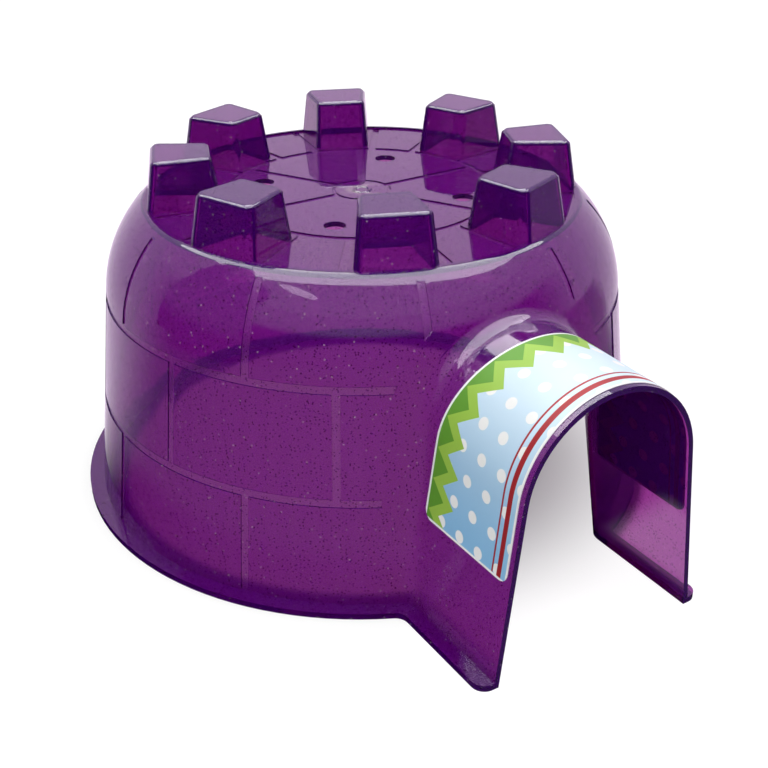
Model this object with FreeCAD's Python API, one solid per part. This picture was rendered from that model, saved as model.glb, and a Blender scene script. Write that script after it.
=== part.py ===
import FreeCAD, Part
import math
import os

# Rodent igloo: one moulded shell and one adhesive label, in mm, resting on z = 0

# Moulding
wall = 2.0
draft = 6.6
junction_fillet = 6.0

# Base flange
flange_radius = 118.0
flange_width = 5.5
flange_thick = 2.4
flange_corner = 5.0

# Dome; the shoulder starts a depth below the top plate
plate_height = 118.9
shoulder_depth = 31.9
shoulder_radius = 50.0
lip_step = 0.7
lip_bevel = 1.3
lip_lean = 1.6
lip_width = 1.2

# Tunnel; its crown lies a drop below the top plate
tunnel_reach = 154.6
tunnel_half_width = 43.4
crown_drop = 18.88
tunnel_rise = 1.15

# Brick pattern
groove_width = 3.0
groove_depth = 0.5
course_height = 42.0
bricks = 10
rim_band = 3.0
groove_margin = 5.0
ring_gap = 2.4
disc_radius = 11.0
spokes = 6
top_groove_angle = 13.1

# Battlement blocks
merlons = 8
merlon_height = 19.2
merlon_edge = 0.66
merlon_length = 28.7
merlon_inner_half = 10.9
merlon_outer_half = 15.4
merlon_end_draft = 9.0
merlon_side_draft = 4.5
merlon_corner = 3.4
merlon_bevel = 1.3

# Gate scar
gate_radius = 4.0
gate_dimple = 2.4
gate_height = 0.4

# Vents
vents = 4
vent_radius = 4.2
vent_circle = 40.5

# Label
label_thick = 0.2
glue_thick = 0.05
label_front_gap = 2.1
label_back_gap = 0.5
label_bottom = 39.5
label_corner = 4.0

# Tied sizes
foot_radius = flange_radius - flange_width
slope = math.tan(math.radians(draft))
cos_draft = math.cos(math.radians(draft))
sin_draft = math.sin(math.radians(draft))
shoulder_height = plate_height - shoulder_depth
shoulder_foot = foot_radius - slope * shoulder_height
shoulder_x = shoulder_foot - shoulder_radius * cos_draft
shoulder_z = shoulder_height - shoulder_radius * sin_draft
lip_top = plate_height + lip_step
lip_angle = math.asin((lip_top - lip_bevel - shoulder_z) / shoulder_radius)
lip_foot = shoulder_x + shoulder_radius * math.cos(lip_angle)
lip_outside = lip_foot - lip_bevel * lip_lean
lip_inside = lip_outside - lip_width
merlon_outer = lip_outside - merlon_edge
merlon_inner = merlon_outer - merlon_length
ring_radius = merlon_inner - ring_gap
crown_height = plate_height - crown_drop
arch_centre = (crown_height - tunnel_half_width * cos_draft) / (1 - sin_draft)
arch_radius = crown_height - arch_centre
label_back_radius = foot_radius + label_back_gap
dome_y = (tunnel_reach - flange_radius) / 2
below = 4.0
far = 4 * flange_radius

origin = FreeCAD.Vector(0, 0, 0)
up = FreeCAD.Vector(0, 0, 1)


def point(x, y, z):
    return FreeCAD.Vector(x, y, z)


def line(a, b):
    return Part.makeLine(a, b)


def arc(cx, cz, radius, start, end):
    mid = (start + end) / 2
    ends = [point(cx + radius * math.cos(a), 0, cz + radius * math.sin(a)) for a in (start, mid, end)]
    return Part.Arc(*ends).toShape()


def plan_box(x0, x1, y0, y1, z0, z1):
    return Part.makeBox(x1 - x0, y1 - y0, z1 - z0, point(x0, y0, z0))


# Solid inside the dome's outer face, moved inwards by a distance; only the outer face has the raised lip
def dome(inset, foot, lip):
    tilt = math.radians(draft)
    radius = shoulder_radius - inset
    top = plate_height - inset
    foot_r = foot_radius - inset / cos_draft - slope * foot
    tangent = point(shoulder_x + radius * cos_draft, 0, shoulder_z + radius * sin_draft)
    last = lip_angle if lip else math.asin((top - shoulder_z) / radius)
    crest = point(shoulder_x + radius * math.cos(last), 0, shoulder_z + radius * math.sin(last))
    path = [crest]
    if lip:
        path.append(point(lip_outside, 0, lip_top))
        path.append(point(lip_inside, 0, lip_top))
        path.append(point(lip_inside, 0, top))
    path += [point(0, 0, top), point(0, 0, foot), point(foot_r, 0, foot), tangent]
    edges = [line(a, b) for a, b in zip(path, path[1:])]
    edges.append(arc(shoulder_x, shoulder_z, radius, tilt, last))
    return Part.Face(Part.Wire(edges)).revolve(origin, up, 360)


# Solid inside the tunnel's outer face, moved inwards by a distance, from a distance past its front to the dome axis
def tunnel(inset, past):
    tilt = math.radians(draft)
    radius = arch_radius - inset
    low = -3 * below
    low_x = tunnel_half_width - inset / cos_draft - slope * low
    right = point(radius * cos_draft, 0, arch_centre + radius * sin_draft)
    left = point(-right.x, 0, right.z)
    edges = [line(point(-low_x, 0, low), point(low_x, 0, low)), line(point(low_x, 0, low), right)]
    edges.append(arc(0, arch_centre, radius, tilt, math.pi - tilt))
    edges.append(line(left, point(-low_x, 0, low)))
    face = Part.Face(Part.Wire(edges))
    face.translate(point(0, -tunnel_reach - past, 0))
    solid = face.extrude(point(0, tunnel_reach + past, 0))
    solid.rotate(point(0, -tunnel_reach, 0), point(1, 0, 0), tunnel_rise)
    return solid


# Edges where two solids' faces meet, away from the base plane
def meeting_edges(shape, first, second):
    found = []
    for edge in shape.Edges:
        span = edge.ParameterRange
        spots = [edge.valueAt(span[0] + (span[1] - span[0]) * t) for t in (0.2, 0.5, 0.8)]
        if max(spot.z for spot in spots) < 0.01:
            continue
        gap = 0
        for spot in spots:
            vertex = Part.Vertex(spot)
            gap = max(gap, first.Shells[0].distToShape(vertex)[0], second.Shells[0].distToShape(vertex)[0])
        if gap < 0.001:
            found.append(edge)
    return found


def merge_with_fillet(first, second, radius):
    joined = first.fuse(second).removeSplitter().Solids[0]
    return joined.makeFillet(radius, meeting_edges(joined, first, second))


# How far a drafted face of a battlement block has moved inwards at a height, with a distance taken off it
def moved(angle, inset, z):
    tilt = math.radians(angle)
    return inset / math.cos(tilt) + (z - plate_height) * math.tan(tilt)


# Wedge plan of a battlement block at a height, with a distance taken off its faces; the dome's radius runs along X
def wedge(inset, z):
    lean = (merlon_outer_half - merlon_inner_half) / merlon_length
    end = moved(merlon_end_draft, inset, z)
    side = moved(merlon_side_draft, inset, z) * math.sqrt(1 + lean ** 2)
    near = merlon_inner + end
    out = merlon_outer - end
    near_half = merlon_inner_half + end * lean - side
    out_half = merlon_outer_half - end * lean - side
    return [point(near, -near_half, z), point(out, -out_half, z), point(out, out_half, z), point(near, near_half, z)]


def merlon(inset, low, high):
    base, top = [wedge(inset, z) for z in (low, high)]
    rings = [base[::-1], top] + [[base[i - 1], base[i], top[i], top[i - 1]] for i in range(4)]
    shell = Part.makeShell([Part.Face(Part.makePolygon(ring + ring[:1])) for ring in rings])
    shell.sewShape()
    return Part.makeSolid(shell)


def upright_edges(solid):
    return [e for e in solid.Edges if abs(e.Vertexes[0].Z - e.Vertexes[-1].Z) > 1]


def top_edges(solid):
    top = max(v.Z for v in solid.Vertexes)
    return [e for e in solid.Edges if min(v.Z for v in e.Vertexes) > top - 0.001]


def around(solid, count, start):
    copies = []
    for i in range(count):
        copy = solid.copy()
        copy.rotate(origin, up, start + 360 / count * i)
        copies.append(copy)
    return copies


# Radial bar of groove width between two radii and two heights, pointing at an angle from the tunnel's direction
def bar(angle, near, out, low, high):
    solid = plan_box(near, out, -groove_width / 2, groove_width / 2, low, high)
    solid.rotate(origin, up, angle - 90)
    return solid


def hoop(radius, low, high, width):
    outer = Part.makeCylinder(radius + width / 2, high - low, point(0, 0, low))
    return outer.cut(Part.makeCylinder(radius - width / 2, high - low, point(0, 0, low)))


# Outer body: dome and tunnel, blended
front_room = plan_box(-far, far, -tunnel_reach, far, 0, far)
dome_out = dome(0, 0, True)
tunnel_out = tunnel(0, below).common(front_room)
body = merge_with_fillet(dome_out, tunnel_out, junction_fillet)

# Mortar grooves in the dome's wall, three staggered courses, kept clear of the tunnel
skin = dome_out.cut(dome(groove_depth, -below, False))
levels = [course_height, 2 * course_height]
courses = [(flange_thick, levels[0]), (levels[0], levels[1]), (levels[1], lip_top - rim_band)]
half = groove_width / 2
lines = [Part.makeCylinder(far / 2, groove_width, point(0, 0, z - half)) for z in levels]
for row, (low, high) in enumerate(courses):
    turn = 180 / bricks * ((row + 1) % 2)
    for i in range(bricks):
        lines.append(bar(turn + 360 / bricks * i, merlon_inner, far / 2, low, high))
network = lines[0].multiFuse(lines[1:])
keep_clear = tunnel(-junction_fillet - groove_margin, below)
wall_grooves = network.common(skin).cut(keep_clear)

# Mortar grooves in the top plate
floor_z = plate_height - groove_depth
ceiling_z = lip_top + below
seams = [hoop(ring_radius, floor_z, ceiling_z, groove_width), hoop(disc_radius, floor_z, ceiling_z, groove_width / 2)]
for i in range(spokes):
    seams.append(bar(180 / spokes + 360 / spokes * i, disc_radius, ring_radius, floor_z, ceiling_z))
for i in range(merlons):
    middle = 180 / merlons + 360 / merlons * i
    for side in (-top_groove_angle, top_groove_angle):
        seams.append(bar(middle + side, ring_radius, far / 2, floor_z, ceiling_z))
plate_room = Part.makeCylinder(lip_inside - lip_step, ceiling_z - floor_z, point(0, 0, floor_z))
plate_grooves = seams[0].multiFuse(seams[1:]).common(plate_room)
body = body.cut(wall_grooves).cut(plate_grooves)

# Battlement blocks, hollow from below
block = merlon(0, plate_height - wall / 2, plate_height + merlon_height)
block = block.makeFillet(merlon_corner, upright_edges(block))
block = block.makeChamfer(merlon_bevel, top_edges(block))
hollow = merlon(wall, plate_height - wall - below, plate_height + merlon_height - wall)
hollow = hollow.makeFillet(merlon_corner - wall, upright_edges(hollow))
first_merlon = -90 + 180 / merlons
body = body.fuse(around(block, merlons, first_merlon))

# Gate scar, a low ring in the middle of the top plate
scar = Part.makeCone(gate_radius, gate_radius - gate_height, gate_height, point(0, 0, plate_height))
scar = scar.cut(Part.makeCone(gate_dimple, gate_dimple + gate_height, gate_height, point(0, 0, plate_height)))
body = body.fuse(scar)

# Base flange round the dome and along both sides of the tunnel
rail = tunnel_half_width + flange_width
flange = Part.makeCylinder(flange_radius, flange_thick)
flange = flange.fuse(plan_box(-rail, rail, -tunnel_reach, 0, 0, flange_thick)).removeSplitter()
corners = [e for e in flange.Edges if abs(abs(e.CenterOfMass.x) - rail) < 0.01 and e.BoundBox.YLength < 0.01]
flange = flange.makeFillet(flange_corner, corners)
body = body.fuse(flange)

# Inside: dome, tunnel, hollow blocks and vents
dome_in = dome(wall, -below, False)
tunnel_in = tunnel(wall, 2 * below).common(plan_box(-far, far, -far, far, -below, far))
cavity = merge_with_fillet(dome_in, tunnel_in, junction_fillet + wall)
shell = body.cut(cavity).cut(around(hollow, merlons, first_merlon))
vent = Part.makeCylinder(vent_radius, wall + 2 * below, point(vent_circle, 0, plate_height - wall - below))
shell = shell.cut(around(vent, vents, 180 / vents - 90))

# Label laid over the arch, its dome side parallel to the dome
label_front = label_front_gap - tunnel_reach
label_half = tunnel_half_width - slope * label_bottom
label_back = -math.sqrt(label_back_radius ** 2 - label_half ** 2)
outline = plan_box(-far, far, label_front, label_back, label_bottom, far)
lower_edges = [e for e in outline.Edges if e.BoundBox.XLength > far and e.BoundBox.ZMax < label_bottom + 1]
outline = outline.makeFillet(label_corner, lower_edges)
band = tunnel(-glue_thick - label_thick, 0).cut(tunnel(-glue_thick, below))
label = band.common(outline).cut(Part.makeCylinder(label_back_radius, far))

os.makedirs("parts", exist_ok=True)
for name, shape in (("igloo_shell", shell), ("entrance_label", label)):
    solid = shape.removeSplitter().Solids[0]
    solid.translate(point(0, dome_y, 0))
    solid.exportStep("parts/" + name + ".step")
    print(name, solid.isValid(), len(shape.Solids), round(solid.Volume), len(solid.Faces), solid.BoundBox)
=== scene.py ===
import math

import bmesh
import bpy
from mathutils import Matrix, Vector


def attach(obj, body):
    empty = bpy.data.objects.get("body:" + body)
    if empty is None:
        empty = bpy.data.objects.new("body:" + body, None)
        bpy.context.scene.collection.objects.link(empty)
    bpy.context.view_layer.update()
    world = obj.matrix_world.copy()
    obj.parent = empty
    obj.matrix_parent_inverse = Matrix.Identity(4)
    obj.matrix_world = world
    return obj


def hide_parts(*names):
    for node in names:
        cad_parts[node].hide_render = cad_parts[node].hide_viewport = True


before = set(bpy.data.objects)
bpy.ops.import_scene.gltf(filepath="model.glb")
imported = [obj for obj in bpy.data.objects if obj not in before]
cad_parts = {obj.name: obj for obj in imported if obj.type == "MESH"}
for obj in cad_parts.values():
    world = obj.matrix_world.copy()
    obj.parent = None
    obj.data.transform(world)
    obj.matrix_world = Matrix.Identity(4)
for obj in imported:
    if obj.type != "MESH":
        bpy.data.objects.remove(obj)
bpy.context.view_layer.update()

scene = bpy.context.scene
scene.view_settings.view_transform = "Standard"
print("frame loaded:", sorted(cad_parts))

domeAxis = (0, 0.0183, 0)   # where the dome's axis meets the floor
plainWhite = (1, 1, 1, 1)


# Node helpers
def place(tree, kind, feeds=None, **settings):
    node = tree.nodes.new(kind)
    for key, value in settings.items():
        setattr(node, key, value)
    for key, value in (feeds or {}).items():
        if isinstance(value, bpy.types.NodeSocket):
            tree.links.new(value, node.inputs[key])
        else:
            node.inputs[key].default_value = value
    return node


def maths(tree, operation, *values):
    return place(tree, "ShaderNodeMath", dict(enumerate(values)), operation=operation).outputs[0]


def product(tree, first, *others):
    for other in others:
        first = maths(tree, "MULTIPLY", first, other)
    return first


def ramp(tree, value, low, high):  # 0 up to low, 1 from high on, smooth between
    feeds = {"Value": value, "From Min": low, "From Max": high}
    return place(tree, "ShaderNodeMapRange", feeds, interpolation_type="SMOOTHSTEP").outputs[0]


def blend(tree, share, first, second):  # of two values
    return place(tree, "ShaderNodeMix", {0: share, 2: first, 3: second}).outputs[0]


def tint(tree, share, first, second):  # of two colours
    return place(tree, "ShaderNodeMix", {0: share, 6: first, 7: second}, data_type="RGBA").outputs[2]


def noise(tree, position, scale, detail, distortion=0.0):
    feeds = {"Vector": position, "Scale": scale, "Detail": detail, "Distortion": distortion}
    return place(tree, "ShaderNodeTexNoise", feeds).outputs[0]


def vectorMath(tree, operation, *values):
    return place(tree, "ShaderNodeVectorMath", dict(enumerate(values)), operation=operation).outputs["Value"]


def spot(tree):  # where a point of the surface lies in the part's own frame, in metres
    return place(tree, "ShaderNodeTexCoord").outputs["Object"]


def splitSpot(tree):
    return place(tree, "ShaderNodeSeparateXYZ", {0: spot(tree)}).outputs


def newMaterial(name):
    material = bpy.data.materials.new(name)
    material.use_nodes = True
    material.node_tree.nodes.clear()
    return material, material.node_tree


# Handling marks: faint smears that dull the gloss, and a slow ripple in the surface
marksLook = {"smearScale": 38.0, "smearDetail": 3.0, "smearFrom": (0.48, 0.78), "rippleScale": 55.0}


def makeHandlingMarks(look):
    group = bpy.data.node_groups.new("handlingMarks", "ShaderNodeTree")
    group.interface.new_socket("Position", in_out="INPUT", socket_type="NodeSocketVector")
    for name in ("Gloss", "Smear"):
        group.interface.new_socket(name, in_out="INPUT", socket_type="NodeSocketFloat")
    for name in ("Roughness", "Ripple"):
        group.interface.new_socket(name, in_out="OUTPUT", socket_type="NodeSocketFloat")
    enter = group.nodes.new("NodeGroupInput").outputs
    leave = group.nodes.new("NodeGroupOutput").inputs
    smears = noise(group, enter["Position"], look["smearScale"], look["smearDetail"])
    smears = ramp(group, smears, *look["smearFrom"])
    ripple = noise(group, enter["Position"], look["rippleScale"], 0.0)
    group.links.new(maths(group, "MULTIPLY_ADD", smears, enter["Smear"], enter["Gloss"]), leave["Roughness"])
    group.links.new(ripple, leave["Ripple"])
    return group


handlingMarks = makeHandlingMarks(marksLook)


def addMarks(tree, position, gloss, smear):
    marks = tree.nodes.new("ShaderNodeGroup")
    marks.node_tree = handlingMarks
    tree.links.new(position, marks.inputs["Position"])
    marks.inputs["Gloss"].default_value = gloss
    marks.inputs["Smear"].default_value = smear
    return marks.outputs


# Igloo shell: clear purple plastic with pale and dark flecks
shellLook = {
    "scatter": (0.16, 0.003, 0.43, 1),   # colour thrown back by the pigment
    "through": (0.98, 0.97, 0.98, 1),    # colour of the light that its surface lets through
    "dye": (0.72, 0.0, 0.67, 1),         # colour and density of the dye in its thickness
    "density": 1160.0,
    "clear": 0.78,                       # share of the light that goes through instead of scattering
    "gloss": 0.035,
    "smear": 0.06,
    "ior": 1.5,
    "ripple": 0.00006,
    "grooveHaze": 0.15,                  # added roughness on the floors of the brick joints
    "paleFleck": {"colour": (1, 0.9, 1, 1), "spacing": 0.003, "radius": 0.00032, "share": 0.8},
    "darkFleck": {"colour": (0.05, 0.0, 0.11, 1), "spacing": 0.0012, "radius": 0.0003, "share": 0.45},
    "darkVeil": (0.2, 0.08, 0.22, 1),    # what a dark fleck lets through
    "gatePale": {"colour": (0.8, 0.7, 0.85, 1), "at": (0.0, 0.0183, 0.1189), "reach": (0.012, 0.004)},
    "wisps": {"scale": 95.0, "detail": 1.0, "distortion": 3.0, "from": (0.57, 0.62)},
}


def flecks(tree, position, fleck):
    cells = place(tree, "ShaderNodeTexVoronoi", {"Vector": position, "Scale": 1 / fleck["spacing"]})
    pick = place(tree, "ShaderNodeSeparateColor", {0: cells.outputs["Color"]}).outputs[0]
    near = maths(tree, "LESS_THAN", cells.outputs["Distance"], fleck["radius"] / fleck["spacing"])
    return product(tree, near, maths(tree, "LESS_THAN", pick, fleck["share"]))


def paleWispsAtGate(tree, position, gatePale, wisps):  # paler in wisps round the gate scar
    away = vectorMath(tree, "DISTANCE", position, gatePale["at"])
    cloud = noise(tree, position, wisps["scale"], wisps["detail"], wisps["distortion"])
    return product(tree, ramp(tree, away, *gatePale["reach"]), ramp(tree, cloud, *wisps["from"]))


def makePlastic(look):
    material, tree = newMaterial("purplePlastic")
    position = spot(tree)
    marks = addMarks(tree, position, look["gloss"], look["smear"])
    bump = place(tree, "ShaderNodeBump", {
        "Strength": 1.0, "Distance": look["ripple"], "Height": marks["Ripple"]})
    dark = flecks(tree, position, look["darkFleck"])
    scatter = tint(tree, dark, look["scatter"], look["darkFleck"]["colour"])
    scatter = tint(tree, flecks(tree, position, look["paleFleck"]), scatter, look["paleFleck"]["colour"])
    gatePale = paleWispsAtGate(tree, position, look["gatePale"], look["wisps"])
    scatter = tint(tree, gatePale, scatter, look["gatePale"]["colour"])
    through = tint(tree, dark, look["through"], look["darkVeil"])
    groove = place(tree, "ShaderNodeAttribute", attribute_name="grooveFloor").outputs["Fac"]
    roughness = maths(tree, "MULTIPLY_ADD", groove, look["grooveHaze"], marks["Roughness"])
    common = {"IOR": look["ior"], "Roughness": roughness, "Normal": bump.outputs[0]}
    body = place(tree, "ShaderNodeBsdfPrincipled", {**common, "Base Color": scatter})
    glass = place(tree, "ShaderNodeBsdfPrincipled", {
        **common, "Base Color": through, "Transmission Weight": 1.0})
    both = place(tree, "ShaderNodeMixShader", {0: look["clear"], 1: body.outputs[0], 2: glass.outputs[0]})
    dye = place(tree, "ShaderNodeVolumeAbsorption", {"Color": look["dye"], "Density": look["density"]})
    place(tree, "ShaderNodeOutputMaterial", {"Surface": both.outputs[0], "Volume": dye.outputs[0]})
    return material


# The shell's own faces, with its bevels shaded round and its groove floors marked
edgeLook = {
    "blockTop": 0.1381,
    "blockBevel": 0.0013,
    "lipFoot": 0.1183,
    "lipTop": 0.1196,
    "lipRadius": 0.0835,
    "plate": 0.1189,
    "footRadius": 0.1125,
    "draft": math.radians(6.6),
    "shoulder": (0.05276, 0.08125, 0.05),   # distance of its arc's centre from the axis, height and radius
    "grooveDepth": 0.0005,
    "bevelRise": (0.4, 0.96),               # least and most upward part of a bevel's normal
    "level": 0.9,                           # upward part of a normal from which a face counts as level
    "besideTurn": 0.4,                      # least agreement between a bevel and a face beside it
    "fine": 0.00005,                        # allowance for rounding in the mesh
}


def fromAxis(point):
    return math.hypot(point.x, point.y - domeAxis[1])


def wallDepth(point, look):  # how far outside the wall's moulded face a point lies
    centre, height, radius = look["shoulder"]
    draft = look["draft"]
    if point.z > height + radius * math.sin(draft):
        return math.hypot(fromAxis(point) - centre, point.z - height) - radius
    return (fromAxis(point) - look["footRadius"]) * math.cos(draft) + point.z * math.sin(draft)


def onBevel(face, corners, look):  # round the top of a block, or on the lip of the plate
    least, most = look["bevelRise"]
    if not least < face.normal.z < most:
        return False
    low = min(point.z for point in corners) + look["fine"]
    high = max(point.z for point in corners) - look["fine"]
    if low > look["blockTop"] - look["blockBevel"]:
        return True
    outside = min(fromAxis(point) for point in corners) > look["lipRadius"]
    return outside and low > look["lipFoot"] and high < look["lipTop"]


def onGrooveFloor(face, corners, look):
    if all(abs(wallDepth(point, look) + look["grooveDepth"]) < 2 * look["fine"] for point in corners):
        return True
    floor = look["plate"] - look["grooveDepth"]
    return face.normal.z > look["level"] and all(abs(point.z - floor) < look["fine"] for point in corners)


def cornerKey(point):
    return tuple(round(value, 5) for value in point)


def refineShell(source, look):
    copy = source.copy()
    copy.data = source.data.copy()
    copy.name = "shellRefined"
    scene.collection.objects.link(copy)
    mesh = copy.data
    normals = [corner.vector.copy() for corner in mesh.corner_normals]
    bevels = []
    floors = []
    besides = {}   # normals of the faces beside the bevels, by corner
    for face in mesh.polygons:
        corners = [mesh.vertices[i].co for i in face.vertices]
        floors.append(1.0 if onGrooveFloor(face, corners, look) else 0.0)
        if onBevel(face, corners, look):
            bevels.append(face)
        elif face.normal.z < look["level"]:
            for loop, point in zip(face.loop_indices, corners):
                besides.setdefault(cornerKey(point), []).append(normals[loop])
    for face in bevels:
        rim = look["blockTop"] if face.center.z > look["lipTop"] else look["lipTop"]
        for loop in face.loop_indices:
            point = mesh.vertices[mesh.loops[loop].vertex_index].co
            if point.z > rim - look["fine"]:
                normals[loop] = Vector((0, 0, 1))
                continue
            found = besides.get(cornerKey(point), [])
            found = [normal for normal in found if normal.dot(face.normal) > look["besideTurn"]]
            if found:
                normals[loop] = sum(found, Vector()).normalized()
    mesh.normals_split_custom_set(normals)
    mask = mesh.attributes.new("grooveFloor", "FLOAT", "FACE")
    mask.data.foreach_set("value", floors)
    print("shell: bevel faces", len(bevels), "groove floor faces", int(sum(floors)), "of", len(floors))
    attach(copy, "root")
    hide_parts("igloo_shell")
    return copy


shell = refineShell(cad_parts["igloo_shell"], edgeLook)
shell.data.materials.clear()
shell.data.materials.append(makePlastic(shellLook))
print("shell: clear purple plastic")

# Entrance label: a plain printed film with dots, zigzag and lines
labelLook = {
    "paper": (0.9, 0.91, 0.9, 1),
    "paleSky": (0.72, 0.86, 0.95, 1),
    "deepSky": (0.25, 0.52, 0.8, 1),
    "lightGreen": (0.33, 0.56, 0.07, 1),
    "darkGreen": (0.12, 0.33, 0.03, 1),
    "line": (0.36, 0.012, 0.018, 1),
    "skyReach": 0.085,                       # length from the crown over which the sky deepens
    "dots": (0.0105, 0.0022),                # pitch and radius
    "zigzagStep": 0.006,
    "zigzagHeight": 0.007,
    "zigzags": ((0.014, "lightGreen"), (0.0085, "darkGreen")),   # how far each reaches from the back edge
    "lines": ((0.0042, 0.0011), (0.0076, 0.0004)),               # distance from the front edge and half width
    "margin": 0.0009,
    "edge": 0.0001,                          # softness of a printed edge
    "gloss": 0.45,
    "smear": 0.1,
    "specular": 0.2,
    "grain": {"scale": 2600.0, "detail": 2.0, "strength": 0.3, "depth": 0.00002},
    "front": -0.1342,                        # y of the film's front edge
    "backRadius": 0.113,                     # its back edge is this far from the dome's axis
    "bottom": 0.0395,
    "archCentre": 0.0643,
    "archRadius": 0.036,
    "archHalfAngle": 1.4556,
    "rise": 0.0201,                          # of the tunnel's crown from front to back
}


def filmPlaces(tree, look):  # length from the crown, and distances from the front, back and lower edges
    x, y, z = splitSpot(tree)
    fromFront = maths(tree, "SUBTRACT", y, look["front"])
    level = maths(tree, "SUBTRACT", z, product(tree, fromFront, look["rise"]))
    above = maths(tree, "SUBTRACT", level, look["archCentre"])
    turn = maths(tree, "ARCTAN2", maths(tree, "ABSOLUTE", x), above)
    turn = maths(tree, "MINIMUM", turn, look["archHalfAngle"])
    springing = look["archCentre"] + look["archRadius"] * math.cos(look["archHalfAngle"])
    straight = maths(tree, "MAXIMUM", maths(tree, "SUBTRACT", springing, level), 0.0)
    along = maths(tree, "MULTIPLY_ADD", turn, look["archRadius"], straight)
    flat = place(tree, "ShaderNodeCombineXYZ", {0: x, 1: y}).outputs[0]
    fromBack = maths(tree, "SUBTRACT", vectorMath(tree, "DISTANCE", flat, domeAxis), look["backRadius"])
    fromEnd = maths(tree, "SUBTRACT", z, look["bottom"])
    return along, fromFront, fromBack, fromEnd


def dotRows(tree, look, along, fromFront):  # staggered
    pitch, radius = look["dots"]
    row = maths(tree, "FLOOR", maths(tree, "DIVIDE", along, pitch))
    shift = product(tree, maths(tree, "MODULO", row, 2.0), pitch / 2)
    across = maths(tree, "PINGPONG", maths(tree, "ADD", fromFront, shift), pitch / 2)
    onward = maths(tree, "PINGPONG", maths(tree, "ADD", along, pitch / 2), pitch / 2)
    flat = place(tree, "ShaderNodeCombineXYZ", {0: across, 1: onward}).outputs[0]
    return ramp(tree, vectorMath(tree, "LENGTH", flat), radius + look["edge"], radius - look["edge"])


def makeFilm(look):
    material, tree = newMaterial("printedFilm")
    along, fromFront, fromBack, fromEnd = filmPlaces(tree, look)
    edge = look["edge"]
    printed = tint(tree, ramp(tree, along, 0.0, look["skyReach"]), look["paleSky"], look["deepSky"])
    printed = tint(tree, dotRows(tree, look, along, fromFront), printed, look["paper"])
    wave = maths(tree, "PINGPONG", along, look["zigzagStep"])
    wave = product(tree, wave, look["zigzagHeight"] / look["zigzagStep"])
    for reach, colour in look["zigzags"]:
        past = maths(tree, "SUBTRACT", maths(tree, "ADD", fromBack, wave), reach)
        printed = tint(tree, ramp(tree, past, edge, -edge), printed, look[colour])
    for middle, half in look["lines"]:
        gap = maths(tree, "ABSOLUTE", maths(tree, "SUBTRACT", fromFront, middle))
        printed = tint(tree, ramp(tree, gap, half + edge, half - edge), printed, look["line"])
    inside = maths(tree, "MINIMUM", maths(tree, "MINIMUM", fromFront, fromBack), fromEnd)
    inside = ramp(tree, inside, look["margin"] - edge, look["margin"] + edge)
    printed = tint(tree, inside, look["paper"], printed)
    marks = addMarks(tree, spot(tree), look["gloss"], look["smear"])
    grain = look["grain"]
    height = noise(tree, spot(tree), grain["scale"], grain["detail"])
    bump = place(tree, "ShaderNodeBump", {
        "Strength": grain["strength"], "Distance": grain["depth"], "Height": height})
    surface = place(tree, "ShaderNodeBsdfPrincipled", {
        "Base Color": printed, "Roughness": marks["Roughness"], "Normal": bump.outputs[0],
        "Specular IOR Level": look["specular"]})
    place(tree, "ShaderNodeOutputMaterial", {"Surface": surface.outputs[0]})
    return material


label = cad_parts["entrance_label"]
label.data.materials.clear()
label.data.materials.append(makeFilm(labelLook))
print("label: printed film")

# Floor: a pale disc that shows white to the eye and keeps the part's shadow, with painted shade under the
# part and painted shades where the plastic shows it
floorLook = {
    "radius": 2.5,
    "segments": 96,
    "drop": 0.0002,                          # it lies this far below the part
    "colour": (0.6, 0.6, 0.6, 1),            # for the light that it throws back
    "shown": (0.15, 0.15, 0.15, 1),          # for the shadow that the eye sees
    "white": (0.3, 0.97),                    # under the part, kept low as painted shade, and out on the table
    "open": (0.065, 0.14),                   # distances from the dome's axis between them
    "room": (0.38, 0.34, 0.34, 1),           # painted shades of the floors seen through the plastic: the room in shade
    "tunnel": (0.4, 0.37, 0.38, 1),
    "around": (0.95, 0.95, 0.95, 1),
    # a painted purple shadow under the flange
    "shadowUnderFlange": (0.12, 0.02, 0.13, 1),
    "roomEdge": (0.106, 0.1),                # distances from the dome's axis where those meet
    "flangeEdge": (0.119, 0.124),
    "tunnelEdge": (0.041, 0.03),             # half widths and ends of the tunnel's floor
    "tunnelEnds": (-0.157, -0.05),
    "footWidth": 0.048,                      # half width over the tunnel's walls
}


def seenDirectly(tree):
    path = place(tree, "ShaderNodeLightPath").outputs
    either = maths(tree, "MAXIMUM", path["Is Camera Ray"], path["Is Glossy Ray"])
    return maths(tree, "MAXIMUM", either, path["Is Transmission Ray"])


# The floor that the plastic shows gets painted light and shade: the room in shade, the lit tunnel, the floor
# around, and a painted shadow under the flange
def floorSeenThrough(tree, look, fromDome):
    x, y = splitSpot(tree)[:2]
    aside = maths(tree, "ABSOLUTE", x)
    mouth, back = look["tunnelEnds"]
    along = product(tree, maths(tree, "GREATER_THAN", y, mouth), maths(tree, "LESS_THAN", y, back))
    inTunnel = product(tree, along, ramp(tree, aside, *look["tunnelEdge"]))
    footed = product(tree, along, maths(tree, "LESS_THAN", aside, look["footWidth"]))
    outside = product(tree, ramp(tree, fromDome, *look["flangeEdge"]), maths(tree, "SUBTRACT", 1.0, footed))
    seen = tint(tree, ramp(tree, fromDome, *look["roomEdge"]), look["shadowUnderFlange"], look["room"])
    seen = tint(tree, inTunnel, seen, look["tunnel"])
    return tint(tree, outside, seen, look["around"])


def meshObject(name, build, material):
    mesh = bpy.data.meshes.new(name)
    build.to_mesh(mesh)
    build.free()
    mesh.materials.append(material)
    piece = bpy.data.objects.new(name, mesh)
    scene.collection.objects.link(piece)
    return piece


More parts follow.
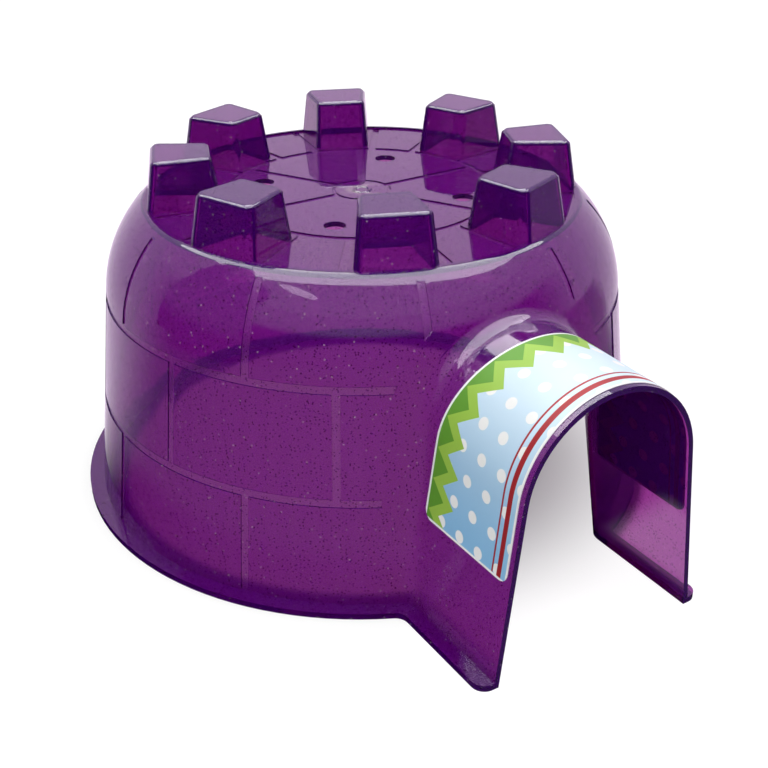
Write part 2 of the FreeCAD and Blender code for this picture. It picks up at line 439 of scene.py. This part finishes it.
def makeFloor(look):
    material, tree = newMaterial("paleFloor")
    plain = place(tree, "ShaderNodeBsdfDiffuse", {"Color": look["colour"]})
    lit = place(tree, "ShaderNodeBsdfDiffuse", {"Color": look["shown"]})
    fromDome = vectorMath(tree, "DISTANCE", spot(tree), domeAxis)
    # the glow is dimmed under the part: painted shade
    grey = blend(tree, ramp(tree, fromDome, *look["open"]), *look["white"])
    through = place(tree, "ShaderNodeLightPath").outputs["Is Transmission Ray"]
    colour = tint(tree, through, grey, floorSeenThrough(tree, look, fromDome))
    glow = place(tree, "ShaderNodeEmission", {"Color": colour, "Strength": 1.0})
    shown = place(tree, "ShaderNodeAddShader", {0: lit.outputs[0], 1: glow.outputs[0]})
    feeds = {0: seenDirectly(tree), 1: plain.outputs[0], 2: shown.outputs[0]}
    chosen = place(tree, "ShaderNodeMixShader", feeds)
    place(tree, "ShaderNodeOutputMaterial", {"Surface": chosen.outputs[0]})
    build = bmesh.new()
    bmesh.ops.create_circle(build, cap_ends=True, radius=look["radius"], segments=look["segments"])
    floor = meshObject("floor", build, material)
    floor.location.z = -look["drop"]


makeFloor(floorLook)
print("floor: pale disc")

# Surroundings that only reflections show: a card with the table and the room round it, and a dark flag
cardLook = {
    "path": ((0.02, -0.0001), (0.75, -0.0001), (1.3, 0.01), (1.5, 0.12), (1.6, 1.3)),   # radii and heights
    "segments": 120,
    "facing": math.radians(238),     # direction of the middle of the table
    "shade": (-0.45, 0.25),          # cosines from it over which the room behind gives way to the table
    "table": (0.12, 0.08),           # white of the near and the far table
    "tableReach": (0.15, 0.5),
    "tableSides": (0.5, 0.4),        # distances to the left and right over which it darkens
    "tableTop": (0.05, 0.005),       # heights over which it darkens
    "under": (0.145, 0.175),         # distances from the dome's axis over which the painted shadow under the part ends
    "doorway": 0.95,                 # white of the lit floor in the tunnel, and its soft edges
    "doorwayLeft": (0.003, 0.011),
    "doorwayRight": (0.038, 0.031),
    "doorwayBack": (-0.082, -0.098),
    "mouth": -0.16,
    "screen": (0.3, 0.75),           # white at the foot and top of the screen behind the table
    "screenRise": (0.3, 1.1),
    "screenFoot": (0.64, 0.82),      # heights between which it begins
    "room": (1.05, 1.03),            # brightness of the floor and the wall of the room behind
    "roomRise": (0.0, 0.45),
    # lavender tint of the room behind: a painted purple cast in the reflections
    "roomTint": (0.97, 0.79, 1, 1),
    "dimFacing": math.radians(342),  # direction of a dim stretch of table, its edges and the light left there
    "dimEdge": (0.95, 0.99),
    "dimTop": (0.1, 0.02),
    "dimLight": 0.3,
}
flagLook = {
    "at": (-0.63, 0.116, 0),
    "facing": math.radians(168),
    "width": 0.48,
    "foot": 0.03,
    "height": 0.93,
    "shoulder": 0.65,                # share of the height where its arched top begins
    "archSteps": 12,
    "white": (0.02, 0.22),           # at its foot and above
    "rise": (0.12, 0.26),
}


def stageCard(name, build, material):
    card = meshObject(name, build, material)
    card.visible_camera = False
    card.visible_diffuse = False
    card.visible_transmission = False
    card.visible_shadow = False


def glowing(name):
    material, tree = newMaterial(name)
    glow = place(tree, "ShaderNodeEmission", {"Color": plainWhite})
    place(tree, "ShaderNodeOutputMaterial", {"Surface": glow.outputs[0]})
    return material, tree, glow.inputs


def towards(tree, flat, turn):  # how far a point lies in a direction
    return vectorMath(tree, "DOT_PRODUCT", flat, (math.cos(turn), math.sin(turn), 0))


def cardShade(tree, look):  # its brightness, and 1 in front and 0 behind
    x, y, z = splitSpot(tree)
    flat = place(tree, "ShaderNodeCombineXYZ", {0: x, 1: y}).outputs[0]
    reach = vectorMath(tree, "LENGTH", flat)
    fromDome = vectorMath(tree, "DISTANCE", flat, domeAxis)
    across = maths(tree, "ABSOLUTE", towards(tree, flat, look["facing"] + math.pi / 2))
    table = blend(tree, ramp(tree, reach, *look["tableReach"]), *look["table"])
    # painted shadow of the part on the table that the gloss shows
    table = product(tree, table, ramp(tree, fromDome, *look["under"]))
    table = product(tree, table, ramp(tree, across, *look["tableSides"]), ramp(tree, z, *look["tableTop"]))
    inDoor = product(tree, ramp(tree, x, *look["doorwayLeft"]), ramp(tree, x, *look["doorwayRight"]))
    inDoor = product(tree, inDoor, ramp(tree, y, *look["doorwayBack"]))
    inDoor = product(tree, inDoor, maths(tree, "GREATER_THAN", y, look["mouth"]))
    table = maths(tree, "MULTIPLY_ADD", inDoor, look["doorway"], table)
    screen = blend(tree, ramp(tree, z, *look["screenRise"]), *look["screen"])
    ahead = maths(tree, "MULTIPLY_ADD", screen, ramp(tree, z, *look["screenFoot"]), table)
    room = blend(tree, ramp(tree, z, *look["roomRise"]), *look["room"])
    front = maths(tree, "DIVIDE", towards(tree, flat, look["facing"]), reach)
    front = ramp(tree, front, *look["shade"])
    dim = maths(tree, "DIVIDE", towards(tree, flat, look["dimFacing"]), reach)
    dim = product(tree, ramp(tree, dim, *look["dimEdge"]), ramp(tree, z, *look["dimTop"]))
    return product(tree, blend(tree, front, room, ahead), blend(tree, dim, 1.0, look["dimLight"])), front


def makeCard(look):
    material, tree, glow = glowing("greyCard")
    bright, front = cardShade(tree, look)
    tree.links.new(bright, glow["Strength"])
    # the room behind is tinted lavender, a painted purple cast in what the gloss shows
    tree.links.new(tint(tree, front, look["roomTint"], plainWhite), glow["Color"])
    build = bmesh.new()
    turns = [2 * math.pi * i / look["segments"] for i in range(look["segments"] + 1)]
    loops = []
    for radius, height in look["path"]:
        loops.append([build.verts.new((radius * math.cos(t), radius * math.sin(t), height)) for t in turns])
    for low, high in zip(loops, loops[1:]):
        for i in range(look["segments"]):
            build.faces.new((low[i], low[i + 1], high[i + 1], high[i]))
    stageCard("card", build, material)


def makeFlag(look):
    material, tree, glow = glowing("darkFlag")
    lift = splitSpot(tree)[2]
    tree.links.new(blend(tree, ramp(tree, lift, *look["rise"]), *look["white"]), glow["Strength"])
    side = Vector((-math.sin(look["facing"]), math.cos(look["facing"]), 0)) * look["width"] / 2
    shoulder = look["height"] * look["shoulder"]
    edge = [(-1, look["foot"]), (1, look["foot"])]
    for i in range(look["archSteps"] + 1):
        turn = math.pi * i / look["archSteps"]
        edge.append((math.cos(turn), shoulder + (look["height"] - shoulder) * math.sin(turn)))
    build = bmesh.new()
    build.faces.new([build.verts.new(Vector(look["at"]) + side * s + Vector((0, 0, z))) for s, z in edge])
    stageCard("flag", build, material)


makeCard(cardLook)
makeFlag(flagLook)
print("cards: grey surroundings for the gloss")

# Studio: even white surroundings, soft boxes overhead for light and for gloss, and one at the front left
studioLook = {"ambient": 0.6, "white": 1.0}
softBoxes = (   # each lights matt surfaces, shows in the gloss, or both
    {"name": "overhead", "at": (-0.16, -0.25, 1.3), "aim": (0, 0, 0.05), "roll": 0,
     "size": (2.8, 0.3), "watts": 11.5, "lights": "matt"},
    {"name": "overheadGloss", "at": (0.233, 0.373, 1.3), "aim": (0.233, 0.373, 0), "roll": -32,
     "size": (2.7, 2.12), "watts": 76, "lights": "gloss"},
    {"name": "frontLeft", "at": (-0.96, -0.35, 1.42), "aim": (0, 0, 0.05), "roll": -15,
     "size": (0.5, 0.14), "watts": 0.6, "lights": "both"},
)


def aimed(look):
    aim = Vector(look["aim"]) - Vector(look["at"])
    turn = Matrix.Rotation(math.radians(look["roll"]), 4, "Z")
    return (aim.to_track_quat("-Z", "Y").to_matrix().to_4x4() @ turn).to_euler()


def makeWorld(look):
    world = bpy.data.worlds.new("studio")
    scene.world = world
    world.use_nodes = True
    tree = world.node_tree
    tree.nodes.clear()
    soft = place(tree, "ShaderNodeBackground", {"Color": plainWhite, "Strength": look["ambient"]})
    shown = place(tree, "ShaderNodeBackground", {"Color": plainWhite, "Strength": look["white"]})
    feeds = {0: seenDirectly(tree), 1: soft.outputs[0], 2: shown.outputs[0]}
    chosen = place(tree, "ShaderNodeMixShader", feeds)
    place(tree, "ShaderNodeOutputWorld", {"Surface": chosen.outputs[0]})


def makeSoftBox(box):
    lamp = bpy.data.lights.new(box["name"], "AREA")
    lamp.shape = "ELLIPSE"
    lamp.size, lamp.size_y = box["size"]
    lamp.energy = box["watts"]
    holder = bpy.data.objects.new(box["name"], lamp)
    holder.location = box["at"]
    holder.rotation_euler = aimed(box)
    holder.visible_glossy = box["lights"] != "matt"
    holder.visible_diffuse = box["lights"] != "gloss"
    holder.visible_transmission = box["lights"] != "gloss"
    scene.collection.objects.link(holder)


makeWorld(studioLook)
for softBox in softBoxes:
    makeSoftBox(softBox)
print("studio: soft light")

# Camera at the photograph's viewing angle
cameraLook = {
    "at": (-0.2369, -0.3810, 0.2808),
    "aim": (0.0071, 0.0141, 0.0296),
    "roll": -0.19,
    "lens": 57.7,
    "sensor": 36,
    "shift": (0.0009, 0.0058),
    "clip": (0.01, 20),
}


def makeCamera(look):
    data = bpy.data.cameras.new("photoView")
    data.sensor_width = look["sensor"]
    data.lens = look["lens"]
    data.shift_x, data.shift_y = look["shift"]
    data.clip_start, data.clip_end = look["clip"]
    camera = bpy.data.objects.new("photoView", data)
    camera.location = look["at"]
    camera.rotation_euler = aimed(look)
    scene.collection.objects.link(camera)
    scene.camera = camera


makeCamera(cameraLook)
print("camera: photo view")
